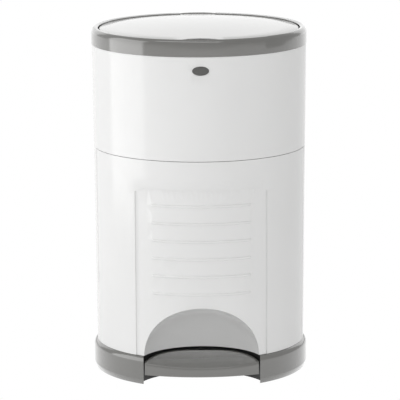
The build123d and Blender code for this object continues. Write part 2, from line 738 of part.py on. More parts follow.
# Collar ring: round-shouldered channel, with six bosses and the two hinge knuckles
SCREW_R = 1.6
BOSS_PITCH_R = 172.5
BOSS_R = 3.2
KNUCKLE_INNER = 15.0
KNUCKLE_OUTER = 23.0
POCKET_TOP = 564.5
KNUCKLE_TOP = 570.0
NOTCH_HALF_X = LID_LUG_X + LID_LUG_W / 2 + 1.5
NOTCH_BACK_Y = LID_PIN_Y + LID_LUG_R + CLEAR
with BuildPart() as collar_ring:
    with BuildSketch(Plane.XZ):
        with BuildLine():
            Line((RING_R, COLLAR_Z + 0.2), (RING_R, COLLAR_SHOULDER_Z))
            RadiusArc((RING_R, COLLAR_SHOULDER_Z), (LAND_R, LAND_Z - 0.4), -9.0)
            Polyline(
                (LAND_R, LAND_Z - 0.4),
                (LIP_R + 0.8, LIP_Z),
                (LIP_R, LIP_Z - 0.8),
                (LIP_R, LAND_Z - 4.0),
                (LIP_R + 3.0, LAND_Z - 5.0),
                (RING_R - COLLAR_WALL, COLLAR_SHOULDER_Z - 1),
                (RING_R - COLLAR_WALL, COLLAR_Z + 0.2),
                (RING_R, COLLAR_Z + 0.2),
            )
        make_face()
    revolve(axis=Axis.Z)
    with BuildSketch(Plane.XY.offset(DECK_Z + DECK_T)):
        with PolarLocations(BOSS_PITCH_R, 6):
            Circle(BOSS_R)
    extrude(amount=LAND_Z - 4.6 - DECK_Z - DECK_T)
    # pocket for the shell's neck, then the knuckles beside it
    with BuildSketch(Plane.XY.offset(COLLAR_Z)):
        with Locations((0, COLLAR_PIN_Y)):
            Rectangle(2 * KNUCKLE_INNER, 18)
    extrude(amount=POCKET_TOP - COLLAR_Z, mode=Mode.SUBTRACT)
    with BuildPart(mode=Mode.PRIVATE) as collar_knuckles:
        with BuildSketch(Plane.YZ):
            with Locations((COLLAR_PIN_Y, COLLAR_PIN_Z)):
                Circle(KNUCKLE_R)
            with Locations((COLLAR_PIN_Y, COLLAR_PIN_Z)):
                Rectangle(2 * KNUCKLE_R, KNUCKLE_TOP - COLLAR_PIN_Z, align=(Align.CENTER, Align.MIN))
        extrude(amount=KNUCKLE_OUTER, both=True)
        with BuildSketch(Plane.XY.offset(COLLAR_Z)):
            Circle(RING_R - 1.0)
        extrude(amount=KNUCKLE_TOP - COLLAR_Z, mode=Mode.INTERSECT)
        with BuildSketch(Plane.YZ):
            with Locations((COLLAR_PIN_Y, COLLAR_PIN_Z)):
                Rectangle(18, 2 * (POCKET_TOP - COLLAR_PIN_Z))
        extrude(amount=KNUCKLE_INNER, both=True, mode=Mode.SUBTRACT)
    add(collar_knuckles.part)
    with BuildSketch(Plane.YZ):
        with Locations((COLLAR_PIN_Y, COLLAR_PIN_Z)):
            Circle(COLLAR_PIN_R + FIT)
    extrude(amount=KNUCKLE_OUTER, both=True, mode=Mode.SUBTRACT)
    # notch in the inner lip for the lid's hinge
    with BuildSketch(Plane.XY.offset(KNUCKLE_TOP + CLEAR)):
        with Locations((0, NOTCH_BACK_Y)):
            Rectangle(2 * NOTCH_HALF_X, 12, align=(Align.CENTER, Align.MAX))
    extrude(amount=LAND_Z - KNUCKLE_TOP, mode=Mode.SUBTRACT)
    with BuildSketch(Plane.XY.offset(DECK_Z)):
        with PolarLocations(BOSS_PITCH_R, 6):
            Circle(SCREW_R)
    extrude(amount=16, mode=Mode.SUBTRACT)
collar_ring.part.label = "collar_ring"
export_step(collar_ring.part, "parts/collar_ring.step")

# Pin of the collar's hinge
with BuildPart() as collar_hinge_pin:
    with BuildSketch(Plane.YZ):
        with Locations((COLLAR_PIN_Y, COLLAR_PIN_Z)):
            Circle(COLLAR_PIN_R)
    extrude(amount=KNUCKLE_OUTER - CLEAR, both=True)
collar_hinge_pin.part.label = "collar_hinge_pin"
export_step(collar_hinge_pin.part, "parts/collar_hinge_pin.step")

# Deck under the lid: plate with the drop opening, seat ring, pin lugs of the lid and of the flaps
SEAT_R = 140.0
SEAT_TOP = 565.4
ROD_SLOT_FRONT = 148.0
DECK_SLOT = 22.0
LUG_FRONT_Y = 167.8
LUG_BACK_Y = 171.6
FLAP_PIN_X = 88.0
FLAP_PIN_Z = 547.0
FLAP_PIN_R = 1.5
FLAP_LUG_R = 3.2
DECK_LUG_Y = (-92.0, -50.0, 50.0, 92.0)
DECK_LUG_W = 6.0
with BuildPart() as inner_deck:
    with BuildSketch(Plane.XY.offset(DECK_Z)):
        Circle(DECK_R)
        RectangleRounded(2 * DROP_X, 2 * DROP_Y, DROP_CORNER, mode=Mode.SUBTRACT)
        # cut back behind the neck's pocket, and open to the back for the rod as the collar tips
        with Locations((0, DECK_R)):
            Rectangle(2 * NECK_HALF + 6, 15, mode=Mode.SUBTRACT)
        with Locations((0, DECK_R)):
            Rectangle(DECK_SLOT, 2 * (DECK_R - ROD_SLOT_FRONT), mode=Mode.SUBTRACT)
        with PolarLocations(BOSS_PITCH_R, 6):
            Circle(SCREW_R + 0.2, mode=Mode.SUBTRACT)
    extrude(amount=DECK_T)
    with BuildSketch(Plane.XY.offset(DECK_Z + DECK_T)):
        Circle(SEAT_R)
        Circle(SEAT_R - 3, mode=Mode.SUBTRACT)
    extrude(amount=SEAT_TOP - DECK_Z - DECK_T)
    with BuildSketch(Plane.YZ):
        with Locations((LID_PIN_Y, LID_PIN_Z)):
            Circle(LID_LUG_R)
        with Locations((LUG_FRONT_Y, LID_PIN_Z)):
            Rectangle(LUG_BACK_Y - LUG_FRONT_Y, LID_PIN_Z - DECK_Z - 1, align=(Align.MIN, Align.MAX))
        with Locations((LID_PIN_Y, LID_PIN_Z)):
            Circle(LID_PIN_R + PRESS, mode=Mode.SUBTRACT)
    extrude(amount=LID_LUG_X + LID_LUG_W / 2, both=True)
    with BuildSketch(Plane.YZ):
        with Locations((LID_PIN_Y, DECK_Z - 1)):
            Rectangle(3 * LID_LUG_R, LID_PIN_Z, align=(Align.CENTER, Align.MIN))
    extrude(amount=LID_LUG_X - LID_LUG_W / 2, both=True, mode=Mode.SUBTRACT)
    with BuildSketch(Plane.XZ):
        with Locations((FLAP_PIN_X, FLAP_PIN_Z), (-FLAP_PIN_X, FLAP_PIN_Z)):
            Circle(FLAP_LUG_R)
        with Locations((FLAP_PIN_X, DECK_Z + 1), (-FLAP_PIN_X, DECK_Z + 1)):
            Rectangle(2 * FLAP_LUG_R - 0.8, 4, align=(Align.CENTER, Align.MAX))
    extrude(amount=DECK_LUG_Y[3] + DECK_LUG_W / 2, both=True)
    for i in range(3):
        low = DECK_LUG_Y[i] + DECK_LUG_W / 2
        high = DECK_LUG_Y[i + 1] - DECK_LUG_W / 2
        with BuildSketch(Plane.XY.offset(DECK_Z)):
            with Locations((FLAP_PIN_X, low), (-FLAP_PIN_X, low)):
                Rectangle(14, high - low, align=(Align.CENTER, Align.MIN))
        extrude(amount=-12, mode=Mode.SUBTRACT)
    with BuildSketch(Plane.XY.offset(DECK_Z - 1)):
        RectangleRounded(2 * DROP_X, 2 * DROP_Y, DROP_CORNER)
    extrude(amount=DECK_T + 1, mode=Mode.SUBTRACT)
    with BuildSketch(Plane.XZ):
        with Locations((FLAP_PIN_X, FLAP_PIN_Z), (-FLAP_PIN_X, FLAP_PIN_Z)):
            Circle(FLAP_PIN_R + PRESS)
    extrude(amount=DECK_R, both=True, mode=Mode.SUBTRACT)
inner_deck.part.label = "inner_deck"
export_step(inner_deck.part, "parts/inner_deck.step")

# Two trap flaps, each a plate on three knuckles
FLAP_FOOT_Z = 549.0
FLAP_T = 3.0
FLAP_KNUCKLE_Y = (-71.0, 0.0, 71.0)
FLAP_KNUCKLE_W = 20.0


def flap(side):
    """Trap flap on the side of -X (-1) or +X (+1)."""
    with BuildPart() as plate:
        with BuildSketch(Plane.XY.offset(FLAP_FOOT_Z)):
            with Locations((side * (DROP_X + 0.1) / 2, 0)):
                RectangleRounded(DROP_X - 0.9, 2 * DROP_Y - 2, DROP_CORNER)
        extrude(amount=FLAP_T)
        for y in FLAP_KNUCKLE_Y:
            with BuildSketch(Plane.XZ.offset(-y - FLAP_KNUCKLE_W / 2)):
                with Locations((side * FLAP_PIN_X, FLAP_PIN_Z)):
                    Circle(FLAP_LUG_R - 0.9)
                with Locations((side * (FLAP_PIN_X - 4), FLAP_PIN_Z + 1.1)):
                    Rectangle(8, 2.2)
                with Locations((side * FLAP_PIN_X, FLAP_PIN_Z)):
                    Circle(FLAP_PIN_R + FIT, mode=Mode.SUBTRACT)
            extrude(amount=FLAP_KNUCKLE_W)
    return plate.part


left_flap = flap(-1)
with BuildPart() as trap_flap_left:
    add(left_flap)
trap_flap_left.part.label = "trap_flap_left"
export_step(trap_flap_left.part, "parts/trap_flap_left.step")

right_flap = flap(1)
with BuildPart() as trap_flap_right:
    add(right_flap)
trap_flap_right.part.label = "trap_flap_right"
export_step(trap_flap_right.part, "parts/trap_flap_right.step")

# Hinge pins of the flaps
with BuildPart() as trap_pins:
    with BuildSketch(Plane.XZ):
        with Locations((FLAP_PIN_X, FLAP_PIN_Z), (-FLAP_PIN_X, FLAP_PIN_Z)):
            Circle(FLAP_PIN_R)
    extrude(amount=DECK_LUG_Y[3] + DECK_LUG_W / 2 + 1, both=True)
trap_pins.part.label = "trap_pins"
export_step(trap_pins.part, "parts/trap_pins.step")

# Springs round the flaps' pins
TRAP_TURNS = 5
trap_coils = [
    coil(FLAP_PIN_R + 0.55, 0.8, 1.5, TRAP_TURNS, Plane((x, y, FLAP_PIN_Z), z_dir=(0, 1, 0)))
    for x in (FLAP_PIN_X, -FLAP_PIN_X)
    for y in (-36.0, 28.0)
]
with BuildPart() as trap_springs:
    add(trap_coils)
trap_springs.part.label = "trap_springs"
export_step(trap_springs.part, "parts/trap_springs.step")

# Lid: domed disc with a skirt, a finger recess in front, hinge lugs and the crank the rod lifts
LID_CROWN_Z = LID_EDGE_Z + LID_RISE
SKIRT_FOOT = 569.0
CRANK_Z = 568.6
CRANK_R = 2.5
CRANK_HALF = 4.0
ARM_FOOT_Z = 572.6
ARM_HEAD_Z = 576.6
ARM_FRONT_Y = 162.0
SKIRT_T = 2.4
DOME_R = ((LID_R - 1) ** 2 + LID_RISE**2) / (2 * LID_RISE)
NOTCH_HALF = 38.0
NOTCH_DEPTH_Y = 15.0
NOTCH_THIN = 4.0
NOTCH_THIN_Z = 576.8


def lid_z(r, depth):
    """Height of the domed lid at radius r, depth below its top skin."""
    return LID_CROWN_Z - DOME_R + sqrt((DOME_R - depth) ** 2 - r**2)


def notch(grow):
    """Plan outline of the finger recess at the lid's front edge, grown by grow."""
    half = NOTCH_HALF + grow
    edge = -sqrt(LID_R**2 - half**2)
    back = -LID_R + NOTCH_DEPTH_Y + grow
    with BuildLine() as outline:
        ThreePointArc((-half, edge), (0, back), (half, edge))
        Polyline((half, edge), (half, edge - 12), (-half, edge - 12), (-half, edge))
    return outline.line


with BuildPart() as lid:
    with BuildSketch(Plane.XZ):
        with BuildLine():
            ThreePointArc(*[(r, lid_z(r, 0)) for r in (0, LID_R / 2, LID_R - 1)])
            Polyline(
                (LID_R - 1, lid_z(LID_R - 1, 0)),
                (LID_R, LID_EDGE_Z - 1),
                (LID_R, SKIRT_FOOT),
                (LID_R - SKIRT_T, SKIRT_FOOT),
                (LID_R - SKIRT_T, lid_z(LID_R - SKIRT_T, LID_T)),
            )
            ThreePointArc(*[(r, lid_z(r, LID_T)) for r in (LID_R - SKIRT_T, LID_R / 2, 0)])
            Line((0, lid_z(0, LID_T)), (0, lid_z(0, 0)))
        make_face()
    revolve(axis=Axis.Z)
    # rib that carries the seal
    with BuildSketch(Plane.XY.offset(571.0)):
        Circle(SEAT_R)
        Circle(SEAT_R - 3, mode=Mode.SUBTRACT)
    extrude(amount=7)
    # finger recess: open to below, its back edge thinned from the underside
    with BuildSketch(Plane.XY.offset(SKIRT_FOOT - 1)):
        add(notch(0))
        make_face()
    extrude(amount=LID_RISE + 10, mode=Mode.SUBTRACT)
    with BuildSketch(Plane.XY.offset(SKIRT_FOOT - 1)):
        add(notch(NOTCH_THIN))
        make_face()
        Circle(LID_R - SKIRT_T, mode=Mode.INTERSECT)
    extrude(amount=NOTCH_THIN_Z - SKIRT_FOOT + 1, mode=Mode.SUBTRACT)
    # arm back to the pin
    with BuildSketch(Plane.YZ):
        with Locations((LID_PIN_Y, LID_PIN_Z)):
            Circle(LID_LUG_R)
        with Locations((LID_PIN_Y, ARM_FOOT_Z)):
            Rectangle(LID_PIN_Y - ARM_FRONT_Y, ARM_HEAD_Z - ARM_FOOT_Z, align=(Align.MAX, Align.MIN))
    extrude(amount=LID_ARM_HALF, both=True)
    # crank in front of the pin
    with BuildSketch(Plane.YZ):
        with Locations((ROD_Y, CRANK_Z)):
            Circle(CRANK_R)
        with Locations((ROD_Y, CRANK_Z)):
            Rectangle(2 * CRANK_R, ARM_HEAD_Z - CRANK_Z, align=(Align.CENTER, Align.MIN))
    extrude(amount=CRANK_HALF, both=True)
    with BuildSketch(Plane.YZ):
        with Locations((LID_PIN_Y, LID_PIN_Z)):
            Circle(LID_PIN_R + FIT)
    extrude(amount=2 * LID_ARM_HALF, both=True, mode=Mode.SUBTRACT)
lid.part.label = "lid"
export_step(lid.part, "parts/lid.step")

# Soft seal ring clipped under the lid's rib
with BuildPart() as lid_seal:
    with BuildSketch(Plane.XY.offset(SEAT_TOP + 0.5)):
        Circle(SEAT_R + 0.6)
        Circle(SEAT_R - 3.6, mode=Mode.SUBTRACT)
    extrude(amount=571.0 - SEAT_TOP - 0.5)
lid_seal.part.label = "lid_seal"
export_step(lid_seal.part, "parts/lid_seal.step")

# Steel pin of the lid
with BuildPart() as lid_hinge_pin:
    with BuildSketch(Plane.YZ):
        with Locations((LID_PIN_Y, LID_PIN_Z)):
            Circle(LID_PIN_R)
    extrude(amount=LID_LUG_X + LID_LUG_W / 2 + 1, both=True)
lid_hinge_pin.part.label = "lid_hinge_pin"
export_step(lid_hinge_pin.part, "parts/lid_hinge_pin.step")

# Hook under the front of the deck, let go by the button
HOOK_FOOT = 541.0
HOOK_BACK_Y = -166.0
HOOK_NOSE_Y = -172.2
HOOK_STEM_Y = -168.6
HOOK_ROOT_Y = -170.5
HOOK_HALF_W = 9.0
with BuildPart() as collar_latch:
    with BuildSketch(Plane.YZ):
        Polygon(
            (HOOK_ROOT_Y, DECK_Z),
            (HOOK_BACK_Y, DECK_Z),
            (HOOK_BACK_Y, HOOK_FOOT),
            (HOOK_NOSE_Y, HOOK_FOOT),
            (HOOK_NOSE_Y, HOOK_FOOT + 2),
            (HOOK_STEM_Y, HOOK_FOOT + 4),
            (HOOK_STEM_Y, HOOK_FOOT + 7),
            align=None,
        )
    extrude(amount=HOOK_HALF_W, both=True)
collar_latch.part.label = "collar_latch"
export_step(collar_latch.part, "parts/collar_latch.step")

# Oval button with a softened face, hollow behind for its spring
BUTTON_FACE_Y = -179.7
BUTTON_BACK_Y = -170.0
with BuildPart() as release_button:
    with BuildSketch(Plane.XZ.offset(-BUTTON_BACK_Y)):
        with Locations((0, BUTTON_Z)):
            Ellipse(BUTTON_HALF_W, BUTTON_HALF_H)
    extrude(amount=BUTTON_BACK_Y - BUTTON_FACE_Y)
    fillet(release_button.edges().sort_by(Axis.Y)[0], 1.4)
    with BuildSketch(Plane.XZ.offset(-BUTTON_BACK_Y)):
        with Locations((0, BUTTON_Z)):
            Circle(5.0)
    extrude(amount=5.5, mode=Mode.SUBTRACT)
release_button.part.label = "release_button"
export_step(release_button.part, "parts/release_button.step")

# Coil spring between the button and the back of its sleeve
BUTTON_SPRING_TURNS = 6
BUTTON_SPRING_PITCH = 2.3
button_coil = coil(
    3.6, 0.9, BUTTON_SPRING_PITCH, BUTTON_SPRING_TURNS, Plane((0, -160.6, BUTTON_Z), z_dir=(0, -1, 0))
)
with BuildPart() as button_spring:
    add(button_coil)
button_spring.part.label = "button_spring"
export_step(button_spring.part, "parts/button_spring.step")


def screws(points, z, head_r, head_t, shank_r, shank_l, way):
    """Pan-head screws at plan points, bearing at z: way is 1 with the shank up, -1 with it down."""
    with BuildPart() as group:
        with BuildSketch(Plane.XY.offset(z)):
            with Locations(*points):
                Circle(head_r)
        extrude(amount=-way * head_t)
        with BuildSketch(Plane.XY.offset(z)):
            with Locations(*points):
                Circle(shank_r)
        extrude(amount=way * shank_l)
    return group.part


# Screws up through the deck into the collar's bosses
COLLAR_HEAD_R = 2.7
COLLAR_HEAD_T = 1.8
COLLAR_SHANK = 12.0
collar_points = [round_about(60 * i + 90, BOSS_PITCH_R) for i in range(6)]
deck_screws = screws(
    collar_points, DECK_Z, COLLAR_HEAD_R, COLLAR_HEAD_T, SCREW_R - PRESS, COLLAR_SHANK, 1
)
with BuildPart() as collar_screws:
    add(deck_screws)
collar_screws.part.label = "collar_screws"
export_step(collar_screws.part, "parts/collar_screws.step")

# Screws up through the floor moulding into the base ring's flange
BASE_SHANK = 5.4
floor_screws = screws(
    BASE_SCREWS, FLOOR_TOP - FLOOR_T, BODY_HEAD_R, BODY_HEAD_T, BODY_SCREW_R, BASE_SHANK, 1
)
with BuildPart() as base_screws:
    add(floor_screws)
base_screws.part.label = "base_screws"
export_step(base_screws.part, "parts/base_screws.step")

# Screws down through the upper shell's flange into the lower shell's
WAIST_SHANK = 6.6
waist_screws = screws(
    SHELL_SCREWS, SHELL_FOOT + FLANGE_T, BODY_HEAD_R, BODY_HEAD_T, BODY_SCREW_R, WAIST_SHANK, -1
)
with BuildPart() as shell_screws:
    add(waist_screws)
shell_screws.part.label = "shell_screws"
export_step(shell_screws.part, "parts/shell_screws.step")
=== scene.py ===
import math

import bmesh
import bpy
from mathutils import Euler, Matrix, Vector


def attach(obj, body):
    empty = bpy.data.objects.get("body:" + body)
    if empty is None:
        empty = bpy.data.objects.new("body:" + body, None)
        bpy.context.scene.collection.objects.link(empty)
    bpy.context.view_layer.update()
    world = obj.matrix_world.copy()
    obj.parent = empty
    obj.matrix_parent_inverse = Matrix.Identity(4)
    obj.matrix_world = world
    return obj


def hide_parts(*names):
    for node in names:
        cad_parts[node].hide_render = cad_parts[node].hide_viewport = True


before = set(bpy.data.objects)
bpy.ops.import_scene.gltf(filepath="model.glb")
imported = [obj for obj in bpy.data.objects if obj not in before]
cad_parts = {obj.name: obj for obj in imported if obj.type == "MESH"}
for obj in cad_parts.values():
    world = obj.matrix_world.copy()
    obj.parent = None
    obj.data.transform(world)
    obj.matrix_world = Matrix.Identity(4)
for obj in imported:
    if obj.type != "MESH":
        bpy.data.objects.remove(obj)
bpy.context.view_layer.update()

MM = 0.001


# ---- Floor moulding -------------------------------------------------------------------------
# The bottom of the bin is one polypropylene moulding that hangs under the ring's flange. Its near-black
# colour is painted shade for the dark bay and gaps round the pedal. It is injection moulded with a fine spark
# texture, and carries the axle, the feet and the bay wall.
class Value:
    """A socket that can be written in Python maths: each operator adds its Math node."""

    def __init__(self, sheet, socket):
        self.sheet = sheet
        self.socket = socket

    def maths(self, operation, *others):
        return self.sheet.add("Math", {"operation": operation}, self, *others)

    def __add__(self, other):
        return self.maths("ADD", other)

    def __sub__(self, other):
        return self.maths("SUBTRACT", other)

    def __mul__(self, other):
        return self.maths("MULTIPLY", other)

    def __rsub__(self, other):
        return self.sheet.add("Math", {"operation": "SUBTRACT"}, other, self)

    __radd__ = __add__
    __rmul__ = __mul__

    def between(self, low, high):
        """0 below low, 1 above high, smooth between."""
        settings = {"interpolation_type": "SMOOTHSTEP"}
        return self.sheet.add("MapRange", settings, self, low, high, 0.0, 1.0)


class Sheet:
    """A material and the one call that adds a node to it."""

    def __init__(self, name):
        self.material = bpy.data.materials.new(name)
        self.material.use_nodes = True
        self.tree = self.material.node_tree
        self.shader = self.tree.nodes["Principled BSDF"]

    def plug(self, socket, value):
        if isinstance(value, Value):
            self.tree.links.new(value.socket, socket)
        else:
            socket.default_value = value

    def add(self, kind, settings=None, *values, output=0, **named):
        """A shader node with its settings, then its inputs in order or by name."""
        node = self.tree.nodes.new("ShaderNode" + kind)
        for key, value in (settings or {}).items():
            setattr(node, key, value)
        for socket, value in zip(node.inputs, values):
            self.plug(socket, value)
        for key, value in named.items():
            self.plug(node.inputs[key], value)
        return Value(self, node.outputs[output])

    def place(self):
        return self.add("TexCoord", output="Object")

    def noise(self, scale, detail=2.0):
        return self.add("TexNoise", None, Vector=self.place(), Scale=scale, Detail=detail)

    def tint(self, factor, low, high):
        """A colour that runs from low to high with the factor."""
        node = self.tree.nodes.new("ShaderNodeMix")
        node.data_type = "RGBA"
        self.plug(node.inputs[0], factor)
        self.plug(node.inputs[6], (*low, 1.0))
        self.plug(node.inputs[7], (*high, 1.0))
        return Value(self, node.outputs[2])

    def surface(self, **named):
        for key, value in named.items():
            self.plug(self.shader.inputs[key.replace("_", " ")], value)
        return self.material

    def bump(self, height, distance):
        return self.add("Bump", None, Strength=1.0, Distance=distance, Height=height)


def moulded_plastic(name, dark, light, roughness, grain_scale, grain_depth):
    """Moulded plastic: faint flow clouding, roughness that drifts, and its grain as bump."""
    sheet = Sheet(name)
    cloud = sheet.noise(9.0, 3.0)
    drift = sheet.noise(38.0, 2.0)
    grain = sheet.noise(grain_scale, 2.0)
    return sheet.surface(
        Base_Color=sheet.tint(cloud.between(0.3, 0.7), dark, light),
        Roughness=drift * 0.06 + (roughness - 0.03),
        IOR=1.5,
        Normal=sheet.bump(grain, grain_depth),
    )


def paint(obj, material):
    obj.data.materials.clear()
    obj.data.materials.append(material)


WELD = 2e-6  # points closer than this are one point of the CAD mesh
FLAT = math.radians(0.4)  # faces that meet at less than this are one flat
SHARP = math.radians(40.0)  # edges that turn more than this are softened


def finished_copy(node, name, edge, angle=28.0):
    """A merged copy of a CAD node with its flats joined, its edges softened and its curves smooth."""
    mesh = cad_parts[node].data.copy()
    mesh.name = name
    bm = bmesh.new()
    bm.from_mesh(mesh)
    bmesh.ops.remove_doubles(bm, verts=bm.verts, dist=WELD)
    bmesh.ops.dissolve_limit(
        bm, angle_limit=FLAT, verts=bm.verts, edges=bm.edges, use_dissolve_boundaries=False
    )
    bmesh.ops.triangulate(bm, faces=[f for f in bm.faces if len(f.verts) > 4])
    bm.to_mesh(mesh)
    bm.free()
    for face in mesh.polygons:
        face.use_smooth = True
    mesh.set_sharp_from_angle(angle=math.radians(angle))
    piece = bpy.data.objects.new(name, mesh)
    bpy.context.collection.objects.link(piece)
    if edge:
        soften = piece.modifiers.new("edges", "BEVEL")
        soften.width = edge
        soften.segments = 2
        soften.limit_method = "ANGLE"
        soften.angle_limit = SHARP
        soften.harden_normals = True
    return piece


def fit_to(piece, body, slot, material, *nodes):
    """Rides the piece on its body in place of its CAD nodes."""
    paint(piece, material)
    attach(piece, body)
    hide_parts(*nodes)


# near-black colour painted in as the shade of the bay and the gaps round the pedal
black_plastic = moulded_plastic(
    "black_plastic", (0.012, 0.012, 0.012), (0.02, 0.02, 0.02), 0.5, 900.0, 0.00012
)
floor_moulding = finished_copy("base_plate", "floor_moulding", 0.0004)
fit_to(floor_moulding, "frame", "black_plastic", black_plastic, "base_plate")


# ---- Feet -----------------------------------------------------------------------------------
# Four soft black feet, moulded in thermoplastic rubber and pressed under the pillars of the floor,
# with a dull skin that scuffs a little paler where it meets the ground.
def dull_rubber(name, dark, light, roughness):
    sheet = Sheet(name)
    scuff = sheet.noise(160.0, 4.0)
    return sheet.surface(
        Base_Color=sheet.tint(scuff.between(0.35, 0.75), dark, light),
        Roughness=scuff * 0.15 + roughness,
        Normal=sheet.bump(scuff, 0.0002),
    )


foot_rubber = dull_rubber("foot_rubber", (0.02, 0.02, 0.02), (0.05, 0.05, 0.05), 0.7)
feet = finished_copy("rubber_feet", "feet", 0.0003)
fit_to(feet, "frame", "foot_rubber", foot_rubber, "rubber_feet")


# ---- Screws ---------------------------------------------------------------------------------
# Zinc-plated pan-head screws with a cross recess, cold headed and thread rolled. Six hold the floor
# to the base ring, four join the two halves of the body, and six hold the deck to the collar ring.
def metal(name, dark, light, roughness, grain_scale, stretch):
    """Bare or plated steel with a fine drawn grain along one axis."""
    sheet = Sheet(name)
    spread = sheet.add("Mapping", None, sheet.place(), Scale=stretch)
    grain = sheet.add("TexNoise", None, Vector=spread, Scale=grain_scale, Detail=3.0)
    return sheet.surface(
        Base_Color=sheet.tint(grain, dark, light),
        Metallic=1.0,
        Roughness=grain * 0.15 + roughness,
        Normal=sheet.bump(grain, 0.00003),
    )


def new_tree(name, sizes):
    """An empty geometry tree with named length inputs, and a call that adds its nodes."""
    tree = bpy.data.node_groups.new(name, "GeometryNodeTree")
    tree.interface.new_socket("Geometry", in_out="INPUT", socket_type="NodeSocketGeometry")
    for title, kind in sizes.items():
        tree.interface.new_socket(title, in_out="INPUT", socket_type="NodeSocket" + kind)
    tree.interface.new_socket("Geometry", in_out="OUTPUT", socket_type="NodeSocketGeometry")
    entry = tree.nodes.new("NodeGroupInput")

    def step(kind, settings=None, **values):
        node = tree.nodes.new(kind)
        for key, value in (settings or {}).items():
            setattr(node, key, value)
        for key, value in values.items():
            socket = node.inputs[int(key[1:])] if key[0] == "i" and key[1:].isdigit() else node.inputs[key]
            if isinstance(value, bpy.types.NodeSocket):
                tree.links.new(value, socket)
            else:
                socket.default_value = value
        return node

    return tree, entry.outputs, step


def close_tree(tree, step, geometry, material):
    """Every tree ends the same way: real geometry with its material."""
    real = step("GeometryNodeRealizeInstances", None, Geometry=geometry)
    coat = step("GeometryNodeSetMaterial", None, Geometry=real.outputs[0])
    coat.inputs["Material"].default_value = material
    out = tree.nodes.new("NodeGroupOutput")
    tree.links.new(coat.outputs[0], out.inputs[0])


def grow(name, tree, points, **sizes):
    """Runs a tree on a mesh of points and keeps the result as a plain mesh."""
    seed = bpy.data.meshes.new(name)
    seed.from_pydata(points, [], [])
    piece = bpy.data.objects.new(name, seed)
    bpy.context.collection.objects.link(piece)
    modifier = piece.modifiers.new("tree", "NODES")
    modifier.node_group = tree
    for item in tree.interface.items_tree:
        if item.item_type == "SOCKET" and item.in_out == "INPUT" and item.name in sizes:
            modifier[item.identifier] = sizes[item.name]
    ready = piece.evaluated_get(bpy.context.evaluated_depsgraph_get())
    mesh = bpy.data.meshes.new_from_object(ready)
    piece.modifiers.remove(modifier)
    piece.data = mesh
    mesh.name = name
    return piece


def smooth(piece, angle=30.0):
    for face in piece.data.polygons:
        face.use_smooth = True
    piece.data.set_sharp_from_angle(angle=math.radians(angle))
    return piece


screw_steel = metal("screw_steel", (0.42, 0.42, 0.40), (0.6, 0.6, 0.57), 0.28, 400.0, (1, 1, 1))

screw_tree, size, step = new_tree(
    "pan_head_screws",
    {
        "Head radius": "Float",
        "Head height": "Float",
        "Shank radius": "Float",
        "Shank length": "Float",
        "Up": "Float",
    },
)
# The head is the half of a flattened ball that is left when its other half and a cross are cut away
head = step("GeometryNodeMeshUVSphere", None, Segments=24, Rings=12, Radius=1.0)
head_scale = step(
    "ShaderNodeCombineXYZ", None, X=size["Head radius"], Y=size["Head radius"], Z=size["Head height"]
)
head_shape = step("GeometryNodeTransform", None, Geometry=head.outputs[0], Scale=head_scale.outputs[0])
lower = step("GeometryNodeMeshCube", None, Size=(0.02, 0.02, 0.01))
lower_at = step("GeometryNodeTransform", None, Geometry=lower.outputs[0], Translation=(0, 0, 0.005))
cross = step("GeometryNodeMeshCube", None, Size=(0.0007, 0.0032, 0.0016))
cross_at = step("ShaderNodeCombineXYZ", None, Z=size["Head height"])
cross_down = step("ShaderNodeVectorMath", {"operation": "SCALE"}, i0=cross_at.outputs[0], Scale=-1.0)
bar_a = step("GeometryNodeTransform", None, Geometry=cross.outputs[0], Translation=cross_down.outputs[0])
turned = step("GeometryNodeTransform", None, Geometry=cross.outputs[0], Rotation=(0, 0, math.pi / 2))
bar_b = step("GeometryNodeTransform", None, Geometry=turned.outputs[0], Translation=cross_down.outputs[0])
cut = step(
    "GeometryNodeMeshBoolean", {"operation": "DIFFERENCE", "solver": "EXACT"}, i0=head_shape.outputs[0]
)
for tool in (lower_at, bar_a, bar_b):
    screw_tree.links.new(tool.outputs[0], cut.inputs[1])
shank = step(
    "GeometryNodeMeshCylinder", None, Vertices=20, Radius=size["Shank radius"], Depth=size["Shank length"]
)
half = step("ShaderNodeMath", {"operation": "MULTIPLY"}, i0=size["Shank length"], i1=0.5)
lift = step("ShaderNodeCombineXYZ", None, Z=half.outputs[0])
shank_at = step("GeometryNodeTransform", None, Geometry=shank.outputs[0], Translation=lift.outputs[0])
whole = step("GeometryNodeJoinGeometry")
for piece in (cut, shank_at):
    screw_tree.links.new(piece.outputs[0], whole.inputs[0])
spread = step("GeometryNodeInstanceOnPoints", None, Points=size["Geometry"], Instance=whole.outputs[0])
tilt = step("ShaderNodeMath", {"operation": "ARCCOSINE"}, i0=size["Up"])
tilt_x = step("ShaderNodeCombineXYZ", None, X=tilt.outputs[0])
as_turn = step("FunctionNodeEulerToRotation", None, i0=tilt_x.outputs[0])
screw_tree.links.new(as_turn.outputs[0], spread.inputs["Rotation"])
close_tree(screw_tree, step, spread.outputs[0], screw_steel)


def screw_set(node, name, body, angles, pitch_r, z, head_r, head_h, shank_r, shank_l, up):
    """A ring of screws whose heads bear at height z, at angles from the front."""
    points = [
        (pitch_r * math.sin(math.radians(a)), -pitch_r * math.cos(math.radians(a)), z) for a in angles
    ]
    sizes = {"Head radius": head_r, "Head height": head_h, "Shank radius": shank_r}
    sizes.update({"Shank length": shank_l, "Up": up})
    piece = smooth(grow(name, screw_tree, points, **sizes))
    fit_to(piece, body, "screw_steel", screw_steel, node)


